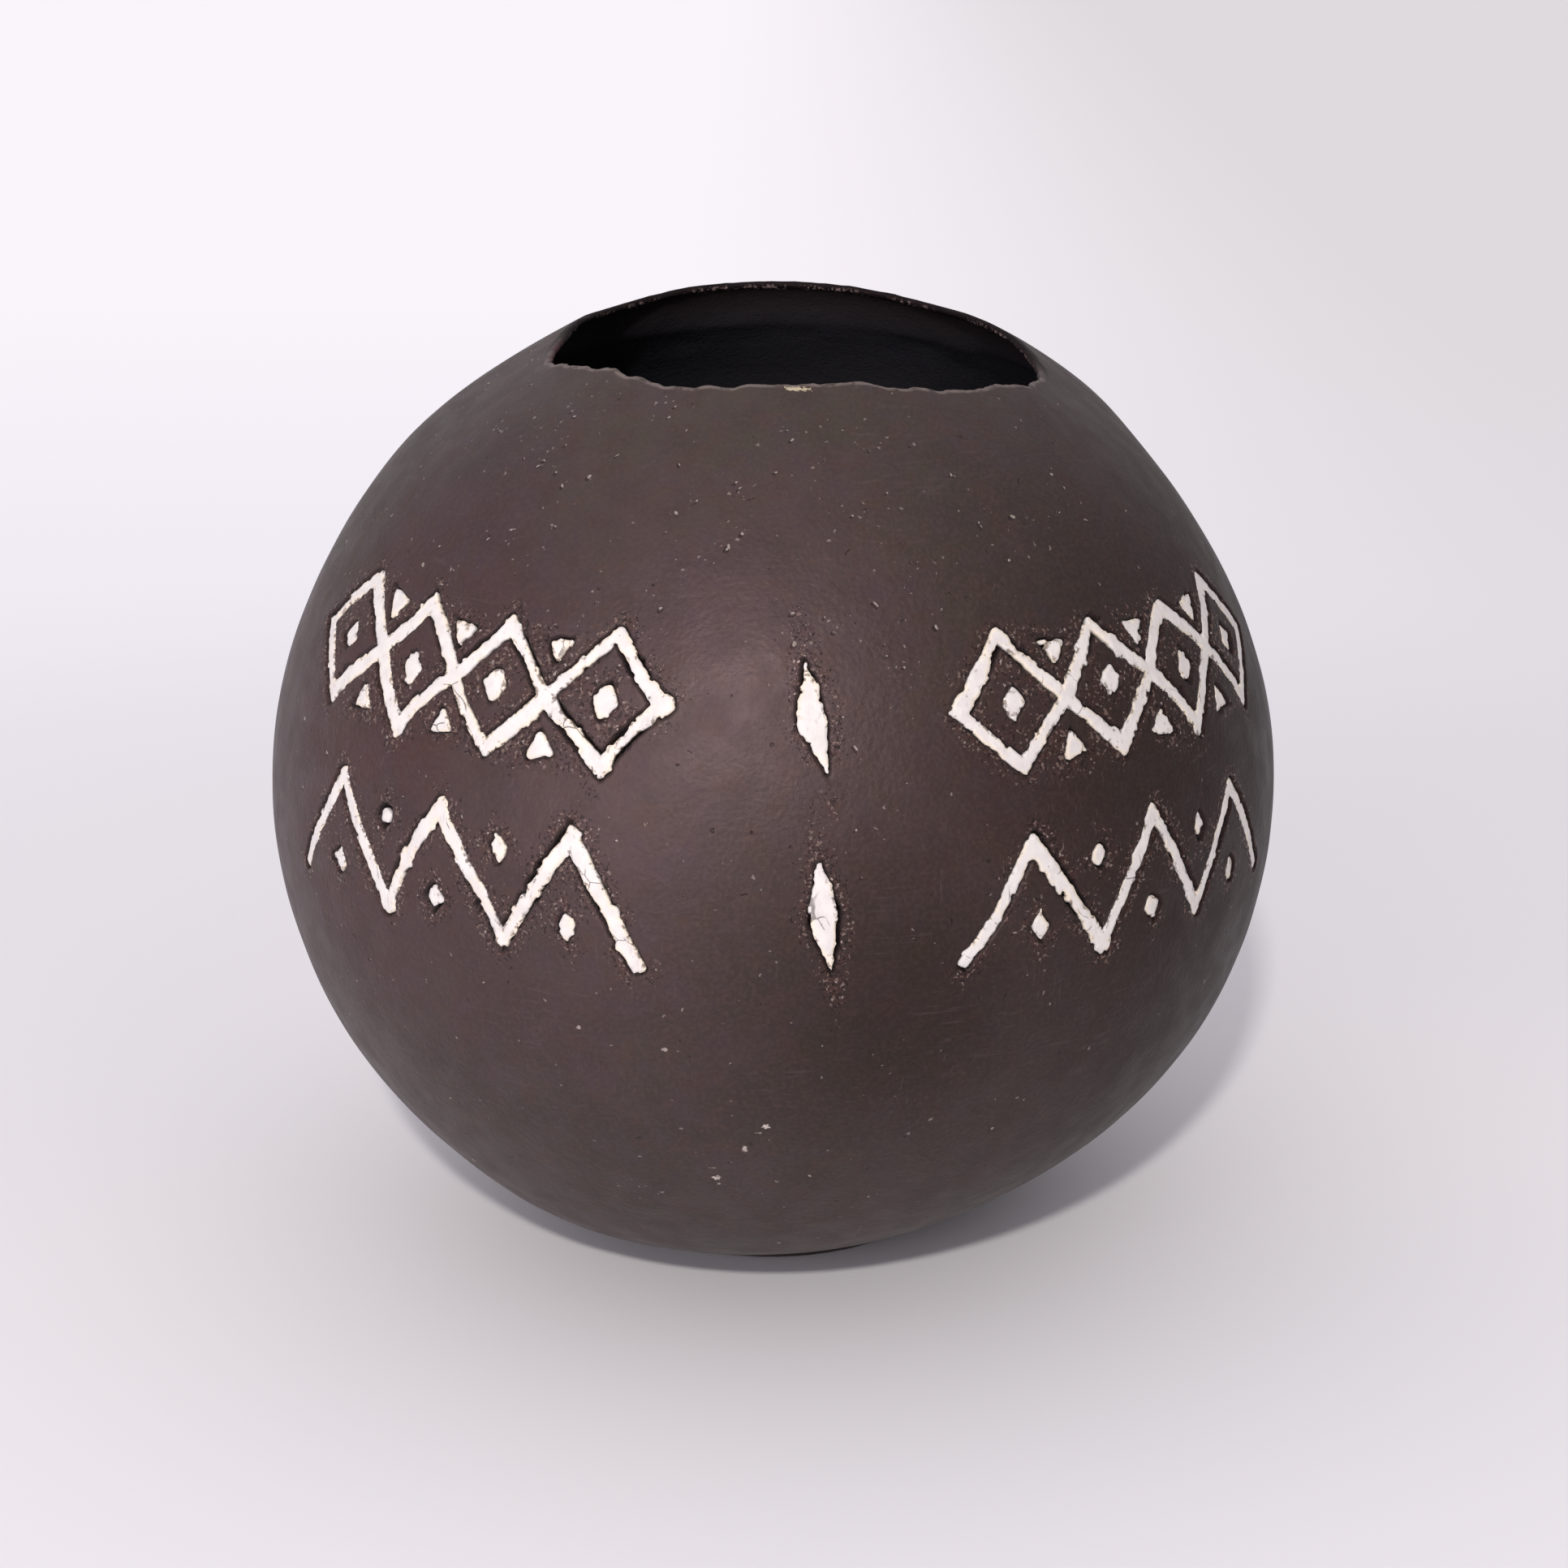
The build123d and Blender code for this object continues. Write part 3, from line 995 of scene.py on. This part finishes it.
class Finish(NodeMaker):
    """A material whose patterns are sized in millimetres."""

    def __init__(self, name):
        self.material = bpy.data.materials.new(name)
        self.material.use_nodes = True
        super().__init__(self.material.node_tree)
        self.shader = self.tree.nodes["Principled BSDF"]
        place = self.node("TexCoord").outputs["Object"]
        scaled = self.node("VectorMath", {"operation": "SCALE"}, Vector=place, Scale=metre)
        self.place = scaled.outputs[0]
        self.colour = None

    def moved_place(self, shift, stretch=(1, 1, 1)):
        """The place on the object, moved and stretched, so that patterns differ."""
        shifts = (shift, shift, shift)
        return self.node("Mapping", Vector=self.place, Scale=stretch, Location=shifts).outputs[0]

    def plain_noise(self, size, detail, shift, stretch=(1, 1, 1)):
        """Noise between 0 and 1 with lumps of a given size."""
        place = self.moved_place(shift, stretch)
        return self.node("TexNoise", Vector=place, Scale=1 / size, Detail=detail).outputs[0]

    def noise(self, name):
        """The noise of a given name."""
        return self.plain_noise(*noises[name])

    def shaken_place(self, size, shift, shares):
        """The place on the object, shaken by noise so that cells of a size grow uneven."""
        place = self.moved_place(shift)
        amount = size * shares[0]
        scale = 1 / (size * shares[1])
        wander = self.node("TexNoise", Vector=place, Scale=scale, Detail=1.0)
        return self.vectors("MULTIPLY_ADD", wander.outputs["Color"], (amount, amount, amount), place)[0]

    def specks(self, name, share):
        """Uneven spots in a share of their cells."""
        size, radius, shift = speck_kinds[name]
        place = self.shaken_place(size, shift, speck_wander_shares)
        cells = self.node("TexVoronoi", Vector=place, Scale=1 / size)
        chance, growth, _ = self.node("SeparateColor", Color=cells.outputs["Color"]).outputs
        reach = self.times(self.maths("ADD", growth, least_growth), radius)
        spot = self.level(self.maths("DIVIDE", cells.outputs["Distance"], reach), "speck edge")
        rare = self.maths("GREATER_THAN", chance, self.maths("SUBTRACT", 1.0, share))
        return self.times(spot, rare)

    def distance(self, middle):
        """The distance in millimetres from a place."""
        return self.vectors("DISTANCE", self.place, middle)["Value"]

    def cloud_distance(self, middle):
        """The distance from a place, with an uneven edge."""
        wander = self.maths("SUBTRACT", self.noise("clouds"), 0.5)
        return self.maths("ADD", self.distance(middle), self.times(wander, cloud_wander))

    def chip(self, middle, size):
        """1 inside a small uneven chip and 0 around it."""
        away = self.vectors("SUBTRACT", self.place, middle)[0]
        length = self.vectors("LENGTH", self.vectors("DIVIDE", away, size)[0])["Value"]
        wander = self.times(self.noise("chips"), chip_wander)
        return self.level(self.maths("ADD", length, wander), "chip edge")

    def patchy(self, name):
        """1 in soft patches and 0 between them."""
        size, low, high, shift = soft_patches[name]
        return self.ramp(self.plain_noise(size, patch_detail, shift), low, high)

    def cover(self, mask, colour):
        """Mix another colour in where a mask is 1."""
        self.colour = self.mix(mask, self.colour, colour)

    def tint(self, name, mask):
        """Mix a share of another colour in where a mask is 1."""
        share, code = tints[name]
        self.cover(self.times(mask, share), paint(code))

    def patch_tint(self, name, *masks):
        """Mix a share of another colour in, in soft patches of the same name."""
        self.tint(name, self.times(self.patchy(name), *masks))

    def blend(self, mask, name):
        """A colour that goes from one to another as a mask goes from 0 to 1."""
        first, last = blends[name]
        return self.mix(mask, paint(first), paint(last))

    def cracks(self):
        """Hairlines between large cells."""
        place = self.shaken_place(crack_size, crack_shift, crack_wander_shares)
        settings = {"feature": "DISTANCE_TO_EDGE"}
        cells = self.node("TexVoronoi", settings, Vector=place, Scale=1 / crack_size)
        return self.level(cells.outputs["Distance"], "crack edge")

    def attribute(self, name):
        """A value kept with the mesh's points."""
        return self.node("Attribute", {"attribute_name": name}).outputs["Fac"]

    def bump(self, height, distance, strength, normal=None):
        """A normal tilted by a height between 0 and 1, which stands for a distance in millimetres."""
        made = self.node("Bump", Height=height, Distance=distance / metre, Strength=strength)
        if normal is not None:
            self.tree.links.new(normal, made.inputs["Normal"])
        return made.outputs[0]

    def bumps(self, layers):
        """A normal tilted by layers of noise: size, detail, shift, distance and strength."""
        normal = None
        for size, detail, shift, distance, strength in layers:
            normal = self.bump(self.plain_noise(size, detail, shift), distance, strength, normal)
        return normal

    def shade(self, **inputs):
        """Feed the colour and more to the shader."""
        self.feed(self.shader.inputs["Base Color"], self.colour)
        for key, value in inputs.items():
            self.feed(self.shader.inputs[key.replace("_", " ")], value)
        return self.material


def clay_finish():
    """Dark fired clay: mottled, with painted highlight and painted shade in places, speckled, pitted, and
    brown where the blade tore it.
    """
    clay = Finish("dark_clay")
    dark = clay_ground(clay)
    clay_scratches(clay)
    pits = clay_specks(clay)
    crumbs = clay_carving(clay)
    dull = clay_mouth(clay)

    normal = clay.bumps(clay_bumps)
    normal = clay.bump(pits, *pit_bump, normal)
    normal = clay.bump(crumbs, *crumb_bump, normal)
    rough = clay.level(clay.noise("rough"), "rough")
    gloss = clay.times(clay.level(dark, "gloss"), clay.maths("SUBTRACT", 1.0, dull))
    tint = paint(gloss_colour)
    return clay.shade(Roughness=rough, Normal=normal, Specular_IOR_Level=gloss, Specular_Tint=tint)


def clay_ground(clay):
    """The ground colour with clouds of colour, some of them painted highlight and painted shade, and more
    painted shade on the right and low front; says where that painted shade is.
    """
    height = clay.split(clay.place)[2]
    clay.colour = clay.blend(clay.patchy("ground"), "ground")
    clay.tint("crown", clay.level(height, "crown"))
    clay.tint("foot", clay.level(height, "foot"))
    # Clouds of colour, some of them painted highlight and some painted shade
    for middle, reach, code in colour_clouds_and_painted_light:
        cloud = clay.ramp(clay.cloud_distance(middle), reach * cloud_core_share, reach, 1.0, 0.0)
        clay.cover(cloud, paint(code))
    for name in ("rose", "olive", "violet", "rust", "plum"):
        clay.patch_tint(name)
    dark = 0.0
    # Painted shade on the right and low on the front, where the clay is also duller
    for middle, near, far, share in painted_shade_and_dull_places:
        dark = clay.maths("MAXIMUM", dark, clay.ramp(clay.distance(middle), near, far, share, 0.0))
    clay.tint("dark", dark)
    clay.patch_tint("blotches")
    clay.patch_tint("grain", clay.level(dark, "grain"))
    return dark


def clay_scratches(clay):
    """Faint upright and level lines that a smoothing tool left in patches."""
    mask = 0.0
    for name in ("upright lines", "level lines"):
        lines = clay.times(clay.level(clay.noise(name), "scratches"), clay.patchy(name))
        mask = clay.maths("MAXIMUM", mask, lines)
    clay.tint("scratches", mask)


def clay_specks(clay):
    """Tiny pale grains, most of them in clusters on the shoulder, with painted shadows beside the large
    ones, dark pits whose dark is painted shade, and chips; says where pits and those shadows are.
    """
    across, _, height = clay.split(clay.place)
    cluster = clay.times(clay.patchy("clusters"), clay.level(height, "cluster heights"))
    cluster = clay.times(cluster, clay.level(across, "cluster sides"))
    small = clay.specks("small specks", clay.level(cluster, "small specks"))
    clay.tint("small specks", small)
    share = clay.level(cluster, "large specks")
    # Painted shadows beside the large grains, also dented by the pits' bump
    shades = clay.specks("painted speck shadows", share)
    clay.tint("painted speck shadows", shades)
    clay.tint("large specks", clay.specks("large specks", share))
    # Dark pits: their dark is painted shade
    holes = clay.specks("holes", hole_share)
    clay.tint("holes", holes)
    for middle, size, code in pale_chips:
        clay.cover(clay.times(clay.chip(middle, size), chip_share), paint(code))
    return clay.maths("MAXIMUM", shades, holes)


def clay_crumbs(clay, active, name):
    """Crumbs that grow rarer as the activity falls."""
    field = clay.maths("ADD", clay.noise(name), clay.times(active, crumb_growth))
    return clay.times(clay.level(field, "crumbs"), clay.level(active, "crumb start"))


def clay_carving(clay):
    """Stains and crumbs beside the carving, painted shade in patches along its edges, and painted shade
    that makes the carving near-black; says where crumbs are.
    """
    away = clay.attribute("carving")
    active = clay.times(clay.level(away, "crumb reach"), clay.patchy("crumbs"))
    clay.patch_tint("stain", active)
    dark = clay_crumbs(clay, active, "dark crumbs")
    clay.tint("dark crumbs", dark)
    brown = clay_crumbs(clay, active, "brown crumbs")
    clay.tint("brown crumbs", brown)
    pale = clay.times(active, clay.specks("pale crumbs", pale_crumb_share))
    clay.tint("pale crumbs", pale)
    # Painted shade in patches along the carving's edges
    clay.patch_tint("rim", clay.level(away, "rim"))
    # Painted shade: the carving's walls and floor near-black
    clay.tint("groove", clay.level(away, "groove"))
    return clay.maths("MAXIMUM", dark, clay.maths("MAXIMUM", brown, pale))


def clay_mouth(clay):
    """A painted highlight along the near lip, painted shade along the far lip's outside and a blackened
    inside; says where the clay is dull.
    """
    past_lip = clay.attribute("past_lip")
    near = clay.level(clay.split(clay.place)[1], "near lip")
    # Painted highlight: a paler band along the near lip, where its edge meets the light
    clay.patch_tint("painted lip highlight", clay.level(past_lip, "painted lip highlight"), near)
    # Painted shade along the far lip's outside, which faces away from the lamps
    far = clay.times(clay.maths("SUBTRACT", 1.0, near), clay.level(past_lip, "painted far lip shade"))
    clay.tint("painted far lip shade", far)
    clay.tint("crest", clay.level(past_lip, "crest"))
    inside = clay.blend(clay.level(past_lip, "inside"), "inside")
    clay.cover(clay.level(past_lip, "inside edge"), inside)
    band = clay.times(clay.level(past_lip, "lip crumbs"), clay.level(past_lip, "lip crumb end"))
    clay.patch_tint("lip crumbs", band, clay.patchy("lip clusters"))
    corner = clay.level(clay.distance(corner_place), "corner")
    corner = clay.times(corner, clay.level(past_lip, "corner edge"))
    clay.tint("corner", corner)
    return clay.level(clay.maths("MAXIMUM", far, clay.level(past_lip, "hollow")), "dull")


def slip_finish():
    """White slip that fills the grooves: grey streaks, hairline cracks and dirty edges in places."""
    slip = Finish("white_slip")
    edge = slip.attribute("edge")
    slip.colour = slip.blend(slip.patchy("slip"), "slip")
    slip.patch_tint("streaks", slip.level(slip.noise("streaks"), "streaks"))
    slip.patch_tint("cream", slip.level(edge, "cream"))
    slip.tint("grit", slip.specks("grit", grit_share))
    crack = slip.times(slip.cracks(), slip.patchy("cracks"))
    slip.tint("cracks", crack)
    slip.patch_tint("torn", slip.level(edge, "torn"), slip.patchy("torn clusters"))
    normal = slip.bump(crack, *crack_bump, slip.bumps(slip_bumps))
    return slip.shade(Roughness=slip_roughness, Normal=normal)


def floor_finish():
    """Pale paper that fades, far from the vase, into a glow with painted light: brighter on the left,
    darker to the right and towards the front.
    """
    paper = Finish("pale_paper")
    paper.colour = paper.blend(paper.patchy("paper"), "paper")
    paper.shade(Roughness=paper_roughness)
    across, along, _ = paper.split(paper.place)
    # Painted light in the glow the camera sees far out: brighter on the left, darker to the right and
    # towards the front
    room = paper.blend(paper.level(across, "room sides"), "room")
    near = paper.mix(near_share, room, paint(near_colour))
    room = paper.mix(paper.level(along, "room depths"), near, room)
    glow = paper.node("Emission", Color=room, Strength=1.0).outputs[0]
    rays = paper.node("LightPath").outputs
    seen = paper.maths("MAXIMUM", rays["Is Camera Ray"], rays["Is Glossy Ray"])
    seen = paper.maths("MAXIMUM", seen, rays["Is Transmission Ray"])
    away = paper.vectors("LENGTH", paper.place)["Value"]
    share = paper.times(seen, paper.level(away, "paper"))
    output = paper.tree.nodes["Material Output"]
    blend = paper.fed("MixShader", {}, share, paper.shader.outputs[0], glow)
    paper.feed(output.inputs["Surface"], blend[0])
    return paper.material


def dress():
    """Replace the plain solids by finished pieces that ride on the same body."""
    marks = carved_marks()
    clay = clay_body(list(marks.values()))
    clay.data.materials.append(clay_finish())
    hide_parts("vessel_body")
    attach(clay, "root")
    white = slip_finish()
    for name, mark in marks.items():
        piece = filling(f"slip_{name}", mark)
        piece.data.materials.append(white)
        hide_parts(name)
        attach(piece, "root")


def make_floor():
    """A wide sheet of pale paper under the vase."""
    half = paper_half_width
    corners = np.array([(-half, -half, 0), (half, -half, 0), (half, half, 0), (-half, half, 0)])
    floor = make_piece("floor", corners, [(0, 1, 2, 3)])
    floor.data.materials.append(floor_finish())


def direction(azimuth, elevation):
    """The way from the vase towards an azimuth and an elevation in degrees."""
    turn, climb = radians(azimuth), radians(elevation)
    return Vector((sin(turn) * cos(climb), -cos(turn) * cos(climb), sin(climb)))


def area_lamp(name, azimuth, elevation, distance, size, power, colour):
    """A lamp that faces the vase from an azimuth and an elevation."""
    lamp = bpy.data.lights.new(name, "AREA")
    lamp.shape = "RECTANGLE"
    lamp.size, lamp.size_y = size[0] / metre, size[1] / metre
    lamp.energy = power
    lamp.color = paint(colour)[:3]
    lamp_object = add_object(name, lamp)
    away = direction(azimuth, elevation)
    lamp_object.location = Vector((0, 0, centre_height / metre)) + away * (distance / metre)
    lamp_object.rotation_euler = away.to_track_quat("Z", "Y").to_euler()


def sky_strength(tree):
    """The room's brightness by direction, and a plain white where the camera sees it."""
    maker = NodeMaker(tree)
    x, y, z = maker.split(maker.node("TexCoord").outputs["Generated"])
    level = maker.times(maker.level(y, "sky depths"), maker.level(x, "sky sides"))
    level = maker.maths("ADD", level, maker.level(z, "sky heights"))
    rays = maker.node("LightPath").outputs
    hidden = maker.maths("SUBTRACT", 1, rays["Is Camera Ray"])
    return maker.maths("ADD", maker.times(level, hidden), rays["Is Camera Ray"])


def make_light():
    """A pale room that is dimmer behind the camera, one lamp at the front and a wide, weak window."""
    world = bpy.data.worlds.new("room")
    bpy.context.scene.world = world
    world.use_nodes = True
    sky = world.node_tree.nodes["Background"]
    sky.inputs["Color"].default_value = paint(sky_colour)
    world.node_tree.links.new(sky_strength(world.node_tree), sky.inputs["Strength"])
    for lamp in lamps:
        area_lamp(*lamp)


def make_camera():
    """The camera at the photograph's place and angle."""
    camera = bpy.data.cameras.new("camera")
    camera.sensor_width = sensor_width
    camera.lens = camera.sensor_width * focal_pixels / photo_size
    camera_object = add_object("camera", camera)
    away = direction(0, camera_elevation) * camera_distance_share * globe_radius
    camera_object.location = (Vector((0, 0, centre_height)) + away) / metre
    view = -direction(-camera_yaw, camera_elevation + camera_pitch)
    camera_object.rotation_euler = view.to_track_quat("-Z", "Y").to_euler()
    bpy.context.scene.camera = camera_object


make_camera()
make_floor()
make_light()
dress()
bpy.context.scene.view_settings.view_transform = "Standard"
